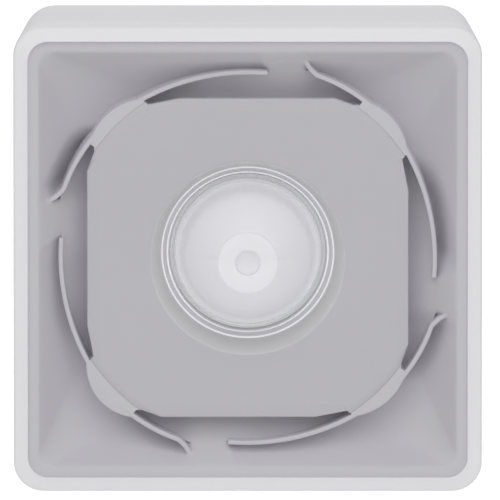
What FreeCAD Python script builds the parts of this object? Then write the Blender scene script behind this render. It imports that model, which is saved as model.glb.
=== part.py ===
"""A square wall-mounted motion sensor with a built-in sounder, in millimetres.

The head is a white housing with a flared square recess. In the recess a centre plate carries a
domed lens, and eight thin curved vanes round the plate guide the sound out of four slots.
The head plugs onto a wall plate that carries the terminals.

Everything is built lying on its back: X is to the right, Y is up the wall and Z is the distance
from the wall. save() then stands each piece up, so that the wall is the XZ plane, +Z is up and the
front looks along -Y. The origin is the centre of the wall face.
"""
import math
import os

import FreeCAD
import Part

V = FreeCAD.Vector
Z_AXIS = V(0, 0, 1)

# ---- driving dimensions ------------------------------------------------------------------------
BODY_WIDTH = 100.0        # across the front of the housing, both ways
BODY_DEPTH = 54.0         # from the wall to the crest of the rim
BACK_TAPER = 2.1          # how much each side steps in from front to back
HOUSING_WALL = 2.2
WALL_GAP = 0.6            # the housing stops this far short of the wall

RIM_WIDTH = 3.0           # the bevelled rim round the recess
RIM_DROP = 1.1            # how far the rim falls back to its outer edge
RIM_EDGE = 1.0            # the softened outer edge behind the rim
LEDGE_DROP = 0.7          # the ledge inside the rim lies this far below the crest
LEDGE_WIDTH = 2.4

PLATE_HALF = 34.3         # half the width of the rounded square centre plate
PLATE_CORNER = 13.2
PLATE_DROP = 3.2          # the plate lies this far below the crest
PLATE_THICK = 2.2
PLATE_DISC = 40.0         # at its corners the plate ends on this circle
LOBE_STEP = 0.6           # the corner lobes lie this far below the plate

VANE_THICK = 1.0
FLOOR_TOP = 35.0          # the floor of the recess, where the vanes stand
FLOOR_THICK = 2.0

WELL_TOP_R = 20.6         # the conical well in the plate that holds the lens
WELL_FOOT_R = 18.5
LENS_SEAT = 38.6          # where the lens flange's seal lies
DOME_R = 17.0
DOME_WALL = 1.2
DOME_FOOT = 40.1          # the tall dome rises from its flange here
DOME_TOP = 62.4

BOARD_THICK = 1.6
MAIN_BOARD = 20.0         # rear face of the main board
SENSOR_BOARD = 35.6       # rear face of the sensor board
REAR_COVER = 15.5         # rear face of the cover behind the main board
WALL_PLATE_THICK = 3.0

POLE_PITCH = 5.5          # terminals and plug pins
POLES = 6
TERMINAL_ROW = -21.5
SOCKET_ROW = -14.6

# ---- positions that follow ---------------------------------------------------------------------
HALF = BODY_WIDTH / 2
RIM_HALF = HALF - RIM_WIDTH
LEDGE = BODY_DEPTH - LEDGE_DROP
MOUTH_HALF = RIM_HALF - LEDGE_WIDTH
PLATE_TOP = BODY_DEPTH - PLATE_DROP
PLATE_UNDER = PLATE_TOP - PLATE_THICK
LOBE_TOP = PLATE_TOP - LOBE_STEP
FLOOR_UNDER = FLOOR_TOP - FLOOR_THICK
TRAY_TOP = FLOOR_UNDER
TRAY_UNDER = TRAY_TOP - 6.0
COVER_TOP = REAR_COVER + 2.0
MAIN_TOP = MAIN_BOARD + BOARD_THICK
SENSOR_TOP = SENSOR_BOARD + BOARD_THICK
POLE_X = [(i - (POLES - 1) / 2) * POLE_PITCH for i in range(POLES)]
POST_AT = 39.5            # the long posts in the housing's corners
BOSS_AT = 26.5            # the bosses under the plate's corners
STANDOFF_AT = 20.0        # the sensor board's posts
LEG_AT = [(-14.0, -31.5), (14.0, -31.5), (-14.0, 31.5), (14.0, 31.5)]
CABLE_AT = (0.0, 16.0)
TAMPER_AT = (30.0, 14.0)
DIAL_AT = {"sensitivity": (-26.0, 14.0), "delay": (-26.0, 27.0)}
CODING_AT = (4.0, 4.0)
CODING_WAYS = 4
LINK_AT = 27.5
LINK_Y = [(i - 2.5) * 2.54 for i in range(6)]


# ---- shape helpers -----------------------------------------------------------------------------
def rounded_wire(half, radius, z, half_y=None):
    """A rounded rectangle at height z, made of four lines and four arcs."""
    half_y = half if half_y is None else half_y
    corners = [(1, 1, 0), (-1, 1, 90), (-1, -1, 180), (1, -1, 270)]
    arcs = []
    for sx, sy, start in corners:
        centre = V(sx * (half - radius), sy * (half_y - radius), z)
        points = [centre + V(radius * math.cos(math.radians(start + step)),
                             radius * math.sin(math.radians(start + step)), 0)
                  for step in (0, 45, 90)]
        arcs.append(points)
    edges = []
    for i, points in enumerate(arcs):
        edges.append(Part.Arc(*points).toShape())
        edges.append(Part.LineSegment(points[2], arcs[(i + 1) % 4][0]).toShape())
    return Part.Wire(edges)


def block(half, radius, z0, z1, half_y=None):
    """An upright rounded block."""
    return Part.Face(rounded_wire(half, radius, z0, half_y)).extrude(V(0, 0, z1 - z0))


def loft(sections, ruled=True):
    """A solid through rounded squares given as (z, half width, corner radius)."""
    return Part.makeLoft([rounded_wire(half, r, z) for z, half, r in sections], True, ruled)


def rod(radius, z0, z1, x=0.0, y=0.0):
    return Part.makeCylinder(radius, z1 - z0, V(x, y, z0), Z_AXIS)


def tube(outer, inner, z0, z1, x=0.0, y=0.0):
    return rod(outer, z0, z1, x, y).cut(rod(inner, z0 - 1, z1 + 1, x, y))


def cuboid(x0, x1, y0, y1, z0, z1):
    return Part.makeBox(x1 - x0, y1 - y0, z1 - z0, V(x0, y0, z0))


def turned(profile):
    """A solid of revolution about Z from (radius, z) corners."""
    outline = Part.makePolygon([V(r, 0, z) for r, z in profile + profile[:1]])
    return Part.Face(outline).revolve(V(0, 0, 0), Z_AXIS, 360)


def slab(points, z0, z1):
    """An upright solid over a straight-sided outline."""
    outline = Part.makePolygon([V(x, y, z0) for x, y in points + points[:1]])
    return Part.Face(outline).extrude(V(0, 0, z1 - z0))


def moved(shape, x, y):
    copy = shape.copy()
    copy.translate(V(x, y, 0))
    return copy


def quarters(shape):
    """The shape and its copies turned a quarter, a half and three quarters."""
    copies = []
    for k in range(4):
        copy = shape.copy()
        copy.rotate(V(0, 0, 0), Z_AXIS, 90 * k)
        copies.append(copy)
    return copies


def at_corners(shape, distance):
    """Four copies of a shape made at the origin, one in each corner."""
    return [moved(shape, sx * distance, sy * distance) for sx in (-1, 1) for sy in (-1, 1)]


def at_places(shape, places):
    return [moved(shape, x, y) for x, y in places]


def fused(shapes):
    first, rest = shapes[0], shapes[1:]
    return first.fuse(rest).removeSplitter() if rest else first


def softened(shape, radius, chosen):
    """The shape with the chosen edges rounded."""
    edges = [e for e in shape.Edges if chosen(e)]
    return shape.makeFillet(radius, edges)


def lies_at(z, tolerance=0.01):
    """Picks edges that lie flat at height z."""
    def test(edge):
        box = edge.BoundBox
        return abs(box.ZMin - z) < tolerance and abs(box.ZMax - z) < tolerance
    return test


def save(name, shape):
    """Stands the piece up against the wall and writes it."""
    upright = shape.copy()
    upright.rotate(V(0, 0, 0), V(1, 0, 0), 90)
    solids = upright.Solids
    assert solids and upright.isValid(), name
    piece = solids[0] if len(solids) == 1 else Part.makeCompound(solids)
    piece.exportStep("parts/" + name + ".step")
    print(f"{name:22s} solids {len(solids):2d}  volume {sum(s.Volume for s in solids):9.1f}")


# ---- the housing and the recess ----------------------------------------------------------------
def outer_housing():
    back_half = HALF - BACK_TAPER
    skin = loft([(WALL_GAP, back_half, 5.6),
                 (BODY_DEPTH - RIM_DROP - RIM_EDGE, HALF, 6.4),
                 (BODY_DEPTH - RIM_DROP - 0.3 * RIM_EDGE, HALF - 0.15, 6.3),
                 (BODY_DEPTH - RIM_DROP, HALF - 0.5, 6.1),
                 (BODY_DEPTH, RIM_HALF, 4.4)])
    hollow = loft([(WALL_GAP - 1, back_half - HOUSING_WALL, 3.6),
                   (LEDGE, RIM_HALF + 0.8, 4.4)])
    mouth = block(RIM_HALF, 4.4, LEDGE - 1, BODY_DEPTH + 1)
    lock_hole = lock_line(1.5)
    return skin.cut([hollow, mouth, lock_hole])


def lock_line(radius):
    """The line of the locking screw, through the underside near the wall."""
    return Part.makeCylinder(radius, 12, V(0, -HALF - 2, 5.0), V(0, 1, 0))


def locking_screw():
    grub = Part.makeCylinder(1.45, 3.0, V(0, -48.1, 5.0), V(0, 1, 0))
    socket = Part.makeCylinder(0.75, 1.6, V(0, -48.2, 5.0), V(0, 1, 0))
    return grub.cut(socket)


RECESS = [(BODY_DEPTH + 0.5, MOUTH_HALF + 0.9, 3.6),
          (LEDGE - 0.5, MOUTH_HALF, 3.2),
          (LEDGE - 2.2, MOUTH_HALF - 0.9, 4.2),
          (LEDGE - 6.0, MOUTH_HALF - 1.6, 9.0),
          (LEDGE - 12.0, MOUTH_HALF - 2.2, 19.0),
          (FLOOR_TOP, MOUTH_HALF - 2.7, 33.0)]


def recess_cavity():
    """The air in the flared recess: square at the mouth, nearly round at the floor."""
    return loft(RECESS, ruled=False)


def exit_ramp():
    """One ramp, at the top side: it rolls up out of the slot, between the vane tips, to the wall."""
    inner_y, outer_y = 38.4, MOUTH_HALF + 1.5
    foot, crest = FLOOR_TOP - 1, LOBE_TOP - 0.6
    roll = 5.2
    start = V(0, inner_y, crest - roll)
    middle = V(0, inner_y + roll * (1 - math.cos(math.radians(45))),
               crest - roll * (1 - math.sin(math.radians(45))))
    end = V(0, inner_y + roll, crest)
    outer = V(0, outer_y, crest + 0.3)
    side = Part.Wire([Part.LineSegment(V(0, inner_y, foot), start).toShape(),
                      Part.Arc(start, middle, end).toShape(),
                      Part.LineSegment(end, outer).toShape(),
                      Part.LineSegment(outer, V(0, outer_y, foot)).toShape(),
                      Part.LineSegment(V(0, outer_y, foot), V(0, inner_y, foot)).toShape()])
    ridge = Part.Face(side).extrude(V(24, 0, 0))
    plan = slab([(4.9, inner_y - 1), (13.6, inner_y - 1), (14.0, 38.8), (11.6, 41.6),
                 (10.6, outer_y + 1), (2.0, outer_y + 1), (4.5, 40.4)], foot - 1, BODY_DEPTH)
    return ridge.common(plan)


def sound_port():
    """The long hole in the floor under one slot."""
    port = block(15.0, 1.6, FLOOR_UNDER - 2, FLOOR_TOP + 1, half_y=1.65)
    return moved(port, -2.0, 36.75)


def corner_post():
    return rod(3.2, COVER_TOP, LEDGE - 3)


def funnel_insert():
    flange = block(RIM_HALF + 0.6, 4.8, LEDGE - 2, LEDGE)
    outside = [(LEDGE - 1.0, MOUTH_HALF + 1.8, 5.0),
               (LEDGE - 6.0, MOUTH_HALF + 0.3, 10.8),
               (LEDGE - 12.0, MOUTH_HALF - 0.3, 20.8),
               (FLOOR_UNDER, MOUTH_HALF - 0.8, 34.8)]
    body = fused([flange, loft(outside, ruled=False)] + at_corners(corner_post(), POST_AT))
    body = body.cut(recess_cavity())
    floor_posts = at_corners(rod(2.4, FLOOR_UNDER, SENSOR_BOARD), STANDOFF_AT)
    body = fused([body] + floor_posts)
    floor_room = loft([(FLOOR_TOP - 1, MOUTH_HALF - 1.6, 33.6), (LEDGE - 3, MOUTH_HALF - 0.4, 6.0)])
    body = fused([body] + [ramp.common(floor_room) for ramp in quarters(exit_ramp())])
    body = body.cut(vane_walls() + [plate_outline(FLOOR_TOP, PLATE_TOP)])
    holes = quarters(sound_port())
    holes += at_corners(rod(1.6, FLOOR_UNDER - 1, FLOOR_TOP + 1), BOSS_AT)
    holes += at_corners(rod(0.9, FLOOR_UNDER + 0.8, SENSOR_BOARD + 1), STANDOFF_AT)
    holes += at_corners(rod(1.1, COVER_TOP - 1, COVER_TOP + 9), POST_AT)
    holes.append(moved(block(1.9, 0.6, FLOOR_UNDER - 1, FLOOR_TOP + 1, half_y=8.4), LINK_AT, 0))
    return body.cut(holes)


# ---- the centre plate and the vanes ------------------------------------------------------------
def plate_outline(z0, z1):
    """The rounded square with its sides trimmed back where the slots run out."""
    body = block(PLATE_HALF, PLATE_CORNER, z0, z1)
    left = slab([(-14.5, PLATE_HALF + 0.01), (-20.6, 33.0), (-21.3, 33.05), (-21.7, 33.6),
                 (-21.5, 34.4), (-20.5, 36.0), (-14.5, 36.0)], z0 - 1, z1 + 1)
    right = slab([(18.6, PLATE_HALF + 0.01), (23.0, 32.8), (23.9, 32.75), (24.4, 33.2),
                  (24.3, 34.2), (22.5, 36.0), (18.6, 36.0)], z0 - 1, z1 + 1)
    return body.cut(quarters(left) + quarters(right))


def arc_wall(start, middle, end, z0, z1):
    """A thin curved wall along the arc through three points."""
    circle = Part.Arc(V(*start, z0), V(*middle, z0), V(*end, z0)).toShape().Curve
    centre, radius = circle.Center, circle.Radius
    rings = []
    for offset in (VANE_THICK / 2, -VANE_THICK / 2):
        rings.append([centre + (V(*p, z0) - centre) * ((radius + offset) / radius)
                      for p in (start, middle, end)])
    outer, inner = rings
    wire = Part.Wire([Part.Arc(*outer).toShape(),
                      Part.LineSegment(outer[2], inner[2]).toShape(),
                      Part.Arc(*reversed(inner)).toShape(),
                      Part.LineSegment(inner[0], outer[0]).toShape()])
    return Part.Face(wire).extrude(V(0, 0, z1 - z0))


def vane_pair(z0, z1):
    """One long vane and one short hooked vane, as they stand along the top side."""
    long_vane = arc_wall((-23.2, 33.7), (-9.2, 38.95), (4.2, 39.75), z0, z1)
    short_vane = arc_wall((26.3, 32.6), (20.5, 36.65), (14.7, 39.25), z0, z1)
    hook = arc_wall((15.1, 39.05), (13.5, 40.5), (12.4, 42.3), z0, z1)
    knuckle = rod(VANE_THICK / 2, z0, z1, 14.75, 39.25)
    return [long_vane, short_vane, hook, knuckle]


def vane_walls():
    return [wall for part in vane_pair(FLOOR_TOP, LOBE_TOP) for wall in quarters(part)]


def vane_ring():
    """The square skirt with its corner lobes and the eight vanes."""
    skirt = plate_outline(FLOOR_TOP, PLATE_UNDER)
    lobes = plate_outline(FLOOR_TOP, LOBE_TOP).cut(rod(PLATE_DISC, 0, BODY_DEPTH))
    body = fused([skirt, lobes] + vane_walls())
    chamber = block(PLATE_HALF - 2.0, PLATE_CORNER - 2.2, FLOOR_TOP - 1, LOBE_TOP + 1)
    seat = rod(PLATE_DISC + 0.05, PLATE_UNDER, LOBE_TOP + 1)
    square = block(PLATE_HALF + 0.02, PLATE_CORNER, PLATE_UNDER, LOBE_TOP + 1)
    return body.cut([chamber, seat.common(square)])


def front_plate():
    sheet = plate_outline(PLATE_UNDER, PLATE_TOP)
    step = turned([(0, PLATE_UNDER), (PLATE_DISC, PLATE_UNDER), (PLATE_DISC, LOBE_TOP - 0.2),
                   (PLATE_DISC - 1.3, PLATE_TOP), (0, PLATE_TOP)])
    crown = loft([(PLATE_UNDER - 1, PLATE_HALF + 1, 13.6), (PLATE_TOP - 0.5, PLATE_HALF + 0.2, 13.2),
                  (PLATE_TOP, PLATE_HALF - 2.4, 11.0)])
    sheet = sheet.common(step).common(crown)
    collar = turned([(WELL_FOOT_R, LENS_SEAT - 1.0), (WELL_FOOT_R + 1.6, LENS_SEAT - 1.0),
                     (WELL_TOP_R + 1.8, PLATE_UNDER + 0.5), (WELL_FOOT_R, PLATE_UNDER + 0.5)])
    lip = tube(WELL_FOOT_R + 0.5, 16.2, LENS_SEAT - 1.0, LENS_SEAT)
    well = turned([(0, PLATE_TOP + 1), (WELL_TOP_R + 0.7, PLATE_TOP + 1),
                   (WELL_TOP_R + 0.4, PLATE_TOP), (WELL_TOP_R, PLATE_TOP - 0.5),
                   (WELL_FOOT_R, LENS_SEAT + 2.6), (WELL_FOOT_R, LENS_SEAT), (0, LENS_SEAT)])
    throat = rod(16.2, LENS_SEAT - 3, LENS_SEAT + 1)
    bosses = at_corners(rod(3.0, FLOOR_TOP, PLATE_UNDER + 0.5), BOSS_AT)
    body = fused([sheet, collar] + bosses).cut([well, throat])
    body = fused([body, lip])
    return body.cut(at_corners(rod(1.2, FLOOR_TOP - 1, FLOOR_TOP + 9.5), BOSS_AT))


def plate_screws():
    """Four screws from behind the sound tray into the plate's bosses."""
    head = rod(2.6, TRAY_UNDER - 2.0, TRAY_UNDER)
    shank = rod(1.2, TRAY_UNDER, FLOOR_TOP + 9.0)
    cross = cuboid(-1.6, 1.6, -0.3, 0.3, TRAY_UNDER - 2.5, TRAY_UNDER - 1.0)
    screw = head.fuse(shank).cut([cross, cross.rotated(V(0, 0, 0), Z_AXIS, 90)])
    return Part.makeCompound(at_corners(screw, BOSS_AT))


# ---- the lens and the sensor behind it ---------------------------------------------------------
def half_egg(radius, foot, height):
    """A half ellipsoid standing on its round foot."""
    ellipse = Part.Ellipse(V(0, 0, foot + height), V(radius, 0, foot), V(0, 0, foot))
    arc = Part.ArcOfEllipse(ellipse, 0, math.pi / 2).toShape()
    outline = Part.Wire(Part.__sortEdges__([
        arc,
        Part.LineSegment(V(0, 0, foot + height), V(0, 0, foot)).toShape(),
        Part.LineSegment(V(0, 0, foot), V(radius, 0, foot)).toShape()]))
    return Part.Face(outline).revolve(V(0, 0, 0), Z_AXIS, 360)


def lens_dome():
    foot, height, inner = LENS_SEAT + 0.6, DOME_TOP - DOME_FOOT, DOME_R - DOME_WALL
    flange = rod(WELL_FOOT_R - 0.15, foot, DOME_FOOT)
    outside = half_egg(DOME_R, DOME_FOOT, height).fuse(flange).removeSplitter()
    hollow = half_egg(inner, DOME_FOOT, height - DOME_WALL)
    return outside.cut([hollow, rod(inner, foot - 1, DOME_FOOT)])


def lens_seal():
    return tube(WELL_FOOT_R - 0.2, 16.6, LENS_SEAT, LENS_SEAT + 0.6)


def lens_retainer():
    """The thin ring that holds the dome down: a high outer bead and a low inner one."""
    foot, low, high = DOME_FOOT, DOME_FOOT + 0.7, DOME_FOOT + 2.0
    inner, outer = DOME_R + 0.1, WELL_FOOT_R - 0.05
    return turned([(inner, foot), (outer, foot), (outer, high - 0.2), (outer - 0.2, high),
                   (outer - 0.4, high - 0.2), (outer - 0.5, low - 0.2), (inner + 0.4, low - 0.3),
                   (inner + 0.35, low - 0.1), (inner + 0.15, low), (inner, low - 0.2)])


def sensor_cone():
    """The white inner cone that carries the sensor up under the crown of the dome."""
    outside = [(14.9, SENSOR_TOP), (14.9, 42.6), (13.3, 45.6), (11.1, 49.4), (8.9, 53.2), (6.6, 57.2)]
    inside = [(5.4, 57.2), (7.6, 53.2), (9.8, 49.4), (12.0, 45.6), (13.6, 42.6), (13.6, SENSOR_TOP)]
    return turned(outside + inside)


def sensor_cap():
    """The round cap on the cone, with a window hole over the sensor."""
    foot, top = 57.2, 59.3
    return turned([(3.0, 58.1), (4.75, 58.1), (4.75, foot), (6.6, foot), (6.6, top - 0.7),
                   (6.35, top - 0.2), (5.9, top), (4.0, top), (3.3, top - 0.3), (3.0, top - 0.7)])


def pyro_sensor():
    return turned([(0, 53.4), (4.65, 53.4), (4.65, 53.9), (4.1, 53.9), (4.1, 57.9), (3.9, 58.05),
                   (2.6, 58.05), (2.6, 57.7), (0, 57.7)])


def sensor_window():
    return rod(2.6, 57.7, 58.0)


def sensor_leads():
    return Part.makeCompound([rod(0.23, SENSOR_TOP, 53.4, 2.5 * math.cos(a), 2.5 * math.sin(a))
                              for a in (0.5, 2.6, 4.7)])


def sensor_board():
    """A square board with a tongue at one side for the link to the main board."""
    tongue = cuboid(20.0, 30.0, -8.6, 8.6, SENSOR_BOARD, SENSOR_TOP)
    board = block(24.0, 3.0, SENSOR_BOARD, SENSOR_TOP).fuse(tongue).removeSplitter()
    return board.cut(at_corners(rod(1.3, SENSOR_BOARD - 1, SENSOR_TOP + 1), STANDOFF_AT))


def sensor_board_screws():
    head = rod(2.1, SENSOR_TOP, SENSOR_TOP + 1.5)
    screw = head.fuse(rod(0.9, FLOOR_UNDER + 0.9, SENSOR_TOP))
    return Part.makeCompound(at_corners(screw, STANDOFF_AT))


def status_leds():
    led = cuboid(-1.0, 1.0, -0.6, 0.6, SENSOR_TOP, SENSOR_TOP + 0.8)
    return Part.makeCompound([moved(led, x, 0) for x in (-9.0, 9.0)])


def link_socket():
    """The socket strip behind the sensor board's tongue."""
    strip = cuboid(LINK_AT - 1.25, LINK_AT + 1.25, -7.8, 7.8, SENSOR_BOARD - 2.6, SENSOR_BOARD)
    return strip.cut([rod(0.4, 0, SENSOR_BOARD + 1, LINK_AT, y) for y in LINK_Y])


def link_header():
    strip = cuboid(LINK_AT - 1.25, LINK_AT + 1.25, -7.8, 7.8, MAIN_TOP, MAIN_TOP + 2.5)
    return strip.cut([rod(0.32, 0, SENSOR_BOARD, LINK_AT, y) for y in LINK_Y])


def link_pins():
    return Part.makeCompound([rod(0.32, MAIN_TOP, SENSOR_BOARD - 0.4, LINK_AT, y) for y in LINK_Y])


# ---- the sounder -------------------------------------------------------------------------------
def sound_tray():
    """The shallow tray that leads the sound from the sounder out to the four ports."""
    half, wall = 40.6, 1.4
    body = block(half, 33.0, TRAY_UNDER, TRAY_TOP)
    air = block(half - wall, 31.6, TRAY_UNDER + wall, TRAY_TOP + 1)
    body = body.cut(air)
    pillars = at_corners(rod(2.8, TRAY_UNDER, TRAY_TOP), BOSS_AT)
    legs = at_places(rod(2.6, MAIN_TOP, TRAY_UNDER + wall), LEG_AT)
    duct = moved(block(2.9, 1.2, TRAY_UNDER, TRAY_TOP, half_y=9.4), LINK_AT, 0)
    body = fused([body, duct] + pillars + legs)
    holes = [rod(16.0, TRAY_UNDER - 1, TRAY_UNDER + 2)]
    holes += at_corners(rod(1.4, TRAY_UNDER - 1, TRAY_TOP + 1), BOSS_AT)
    holes += at_places(rod(1.0, MAIN_TOP - 1, MAIN_TOP + 5.0), LEG_AT)
    holes.append(moved(block(1.9, 0.6, TRAY_UNDER - 1, TRAY_TOP + 1, half_y=8.4), LINK_AT, 0))
    return body.cut(holes)


def sounder_cup():
    foot = MAIN_TOP + 0.5
    return turned([(0, foot), (19.0, foot), (19.0, TRAY_UNDER), (17.6, TRAY_UNDER),
                   (17.6, 25.0), (16.0, 25.0), (16.0, foot + 1.0), (0, foot + 1.0)])


def sounder_disc():
    return rod(17.5, 25.0, 25.4)


def sounder_ceramic():
    return rod(11.5, 25.4, 25.7)


# ---- the main board and what it carries --------------------------------------------------------
def main_board():
    board = block(37.0, 3.0, MAIN_BOARD, MAIN_TOP)
    holes = at_places(rod(1.4, MAIN_BOARD - 1, MAIN_TOP + 1), LEG_AT)
    return board.cut(holes)


def main_board_screws():
    head = rod(2.3, MAIN_BOARD - 1.6, MAIN_BOARD)
    shank = rod(1.0, MAIN_BOARD, MAIN_TOP + 4.6)
    return Part.makeCompound(at_places(head.fuse(shank), LEG_AT))


def main_chip():
    return moved(block(5.0, 0.3, MAIN_TOP, MAIN_TOP + 1.4), -28.0, 8.0)


def relay():
    return moved(block(5.0, 0.5, MAIN_TOP, MAIN_TOP + 5.0, half_y=7.5), -28.5, -10.0)


def capacitors():
    can = softened(rod(3.1, MAIN_TOP, MAIN_TOP + 5.0), 0.5, lies_at(MAIN_TOP + 5.0))
    return Part.makeCompound([moved(can, x, 29.5) for x in (-8.0, 0.0, 8.0)])


def setting_body(x, y):
    """The square body of a setting dial, open in the middle."""
    body = moved(block(4.8, 0.6, REAR_COVER + 0.5, MAIN_BOARD), x, y)
    return body.cut(rod(3.4, REAR_COVER, MAIN_BOARD - 1.0, x, y))


def setting_dial(x, y):
    """The turning part of a setting, with a screwdriver slot and a pointer notch."""
    dial = rod(3.35, REAR_COVER + 0.7, MAIN_BOARD - 1.1, x, y)
    slot = cuboid(x - 2.4, x + 2.4, y - 0.45, y + 0.45, REAR_COVER, REAR_COVER + 1.7)
    notch = cuboid(x - 0.3, x + 0.3, y + 2.6, y + 4.0, REAR_COVER, REAR_COVER + 1.2)
    return dial.cut([slot, notch])


def coding_x():
    return [CODING_AT[0] + (i - (CODING_WAYS - 1) / 2) * 2.54 for i in range(CODING_WAYS)]


def coding_switch():
    """The body of the small slide switches that set the unit's number."""
    x, y = CODING_AT
    body = moved(block(6.0, 0.4, REAR_COVER + 0.8, MAIN_BOARD, half_y=4.4), x, y)
    slots = [cuboid(cx - 0.75, cx + 0.75, y - 1.9, y + 1.9, REAR_COVER, REAR_COVER + 2.6)
             for cx in coding_x()]
    return body.cut(slots)


def coding_slider(i):
    x, y = coding_x()[i], CODING_AT[1]
    return cuboid(x - 0.6, x + 0.6, y - 1.8, y - 0.2, REAR_COVER + 0.2, REAR_COVER + 2.5)


def tamper_switch():
    x, y = TAMPER_AT
    body = moved(block(4.2, 0.6, 12.8, MAIN_BOARD), x, y)
    return body.cut([rod(2.85, 13.8, MAIN_BOARD + 1, x, y), rod(1.43, 12, 14, x, y)])


def tamper_plunger():
    """The pin that feels the wall through the wall plate."""
    x, y = TAMPER_AT
    stem = softened(rod(1.35, 0.0, 16.5, x, y), 0.4, lies_at(0.0))
    return stem.fuse(rod(2.7, 16.5, 17.2, x, y)).removeSplitter()


def tamper_spring():
    """Three turns of wire between the plunger's collar and the board."""
    x, y = TAMPER_AT
    wire_r, coil_r, foot, top = 0.2, 2.0, 17.45, 19.75
    turns = 3.0
    helix = Part.makeHelix((top - foot) / turns, top - foot, coil_r)
    ring = Part.Wire([Part.makeCircle(wire_r, V(coil_r, 0, 0), V(0, 1, 0))])
    coil = Part.Wire(helix.Edges).makePipeShell([ring], True, True)
    coil.translate(V(x, y, foot))
    return coil


def plug_body():
    body = cuboid(-17.5, 17.5, SOCKET_ROW - 2.2, SOCKET_ROW + 2.2, 14.0, MAIN_BOARD)
    return body.cut([rod(0.6, 13, MAIN_BOARD + 1, x, SOCKET_ROW) for x in POLE_X])


def plug_pins():
    pins = []
    for x in POLE_X:
        pin = rod(0.6, 7.2, MAIN_BOARD, x, SOCKET_ROW)
        pins.append(softened(pin, 0.35, lies_at(7.2)))
    return Part.makeCompound(pins)


# ---- the back of the head ----------------------------------------------------------------------
def rear_cover():
    body = block(44.4, 3.4, REAR_COVER, COVER_TOP)
    z0, z1 = REAR_COVER - 1, COVER_TOP + 1
    windows = [moved(block(5.1, 0.8, z0, z1), x, y) for x, y in DIAL_AT.values()]
    windows.append(moved(block(6.3, 0.6, z0, z1, half_y=4.7), *CODING_AT))
    windows.append(moved(block(4.5, 0.8, z0, z1), *TAMPER_AT))
    windows.append(cuboid(-17.8, 17.8, SOCKET_ROW - 2.5, SOCKET_ROW + 2.5, z0, z1))
    windows += at_corners(rod(1.7, z0, z1), POST_AT)
    ribs = [cuboid(-30.0, 30.0, y - 0.7, y + 0.7, REAR_COVER - 1.2, REAR_COVER) for y in (-33.0, 36.0)]
    return fused([body] + ribs).cut(windows)


def rear_cover_seal():
    return block(46.2, 4.6, REAR_COVER + 0.3, COVER_TOP - 0.3).cut(
        block(44.4, 3.4, REAR_COVER, COVER_TOP))


def rear_cover_screws():
    head = rod(2.8, REAR_COVER - 2.0, REAR_COVER)
    shank = rod(1.1, REAR_COVER, COVER_TOP + 8.0)
    cross = cuboid(-1.7, 1.7, -0.35, 0.35, REAR_COVER - 2.5, REAR_COVER - 1.0)
    screw = head.fuse(shank).cut([cross, cross.rotated(V(0, 0, 0), Z_AXIS, 90)])
    return Part.makeCompound(at_corners(screw, POST_AT))


# ---- the wall plate ----------------------------------------------------------------------------
WALL_HALF = 45.0
BOX_SCREW_AT = 30.15      # half of 60.3, the centres of a single wall box
WALL_SCREW_AT = 35.0


def wall_plate():
    body = block(WALL_HALF, 3.2, 0, WALL_PLATE_THICK + 4.0)
    tray = block(WALL_HALF - 1.8, 2.4, WALL_PLATE_THICK, WALL_PLATE_THICK + 5)
    body = body.cut(tray)
    bars = [cuboid(-40, 40, y - 0.8, y + 0.8, WALL_PLATE_THICK, WALL_PLATE_THICK + 2.0)
            for y in (-31.0, 30.0)]
    body = fused([body] + bars)
    top = WALL_PLATE_THICK + 3
    holes = [rod(9.0, -1, top, *CABLE_AT), rod(1.7, -1, top, *TAMPER_AT)]
    for sx in (-1, 1):
        holes.append(moved(block(4.6, 2.1, -1, top, half_y=2.1001), sx * BOX_SCREW_AT, 0))
    holes += at_corners(rod(2.25, -1, top), WALL_SCREW_AT)
    return body.cut(holes)


def cable_grommet():
    x, y = CABLE_AT
    body = rod(9.0, 0.3, WALL_PLATE_THICK, x, y).fuse(
        rod(11.0, WALL_PLATE_THICK, WALL_PLATE_THICK + 1.6, x, y)).removeSplitter()
    return body.cut(rod(5.0, 0, WALL_PLATE_THICK + 2, x, y))


def terminal_block():
    half = POLES * POLE_PITCH / 2 + 1.0
    body = cuboid(-half, half, TERMINAL_ROW - 5.0, SOCKET_ROW + 2.2, WALL_PLATE_THICK, 12.8)
    holes = []
    for x in POLE_X:
        holes.append(rod(2.1, 7.0, 13.5, x, TERMINAL_ROW))
        holes.append(rod(1.0, 6.0, 13.5, x, SOCKET_ROW))
        holes.append(Part.makeCylinder(1.6, 6.0, V(x, TERMINAL_ROW - 5.5, 5.4), V(0, 1, 0)))
    return body.cut(holes)


def terminal_screws():
    screws = []
    for x in POLE_X:
        head = rod(2.0, 8.6, 10.8, x, TERMINAL_ROW).fuse(rod(1.3, 7.0, 8.6, x, TERMINAL_ROW))
        slot = cuboid(x - 1.7, x + 1.7, TERMINAL_ROW - 0.3, TERMINAL_ROW + 0.3, 9.8, 11.5)
        screws.append(head.cut(slot))
    return Part.makeCompound(screws)


def socket_contacts():
    return Part.makeCompound([tube(1.0, 0.66, 6.2, 12.4, x, SOCKET_ROW) for x in POLE_X])


def main():
    os.makedirs("parts", exist_ok=True)
    makers = [outer_housing, locking_screw, funnel_insert, vane_ring, front_plate, plate_screws,
              lens_dome, lens_seal, lens_retainer, sensor_cone, sensor_cap, pyro_sensor,
              sensor_window, sensor_leads, sensor_board, sensor_board_screws, status_leds,
              link_socket, link_header, link_pins, sound_tray, sounder_cup,
              sounder_disc, sounder_ceramic, main_board, main_board_screws, main_chip, relay,
              capacitors, coding_switch, tamper_switch, tamper_plunger, tamper_spring, plug_body,
              plug_pins, rear_cover, rear_cover_seal, rear_cover_screws, wall_plate,
              cable_grommet, terminal_block, terminal_screws, socket_contacts]
    for maker in makers:
        save(maker.__name__, maker())
    for name, place in DIAL_AT.items():
        save(name + "_body", setting_body(*place))
        save(name + "_dial", setting_dial(*place))
    for i in range(CODING_WAYS):
        save(f"coding_slider_{i + 1}", coding_slider(i))


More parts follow.
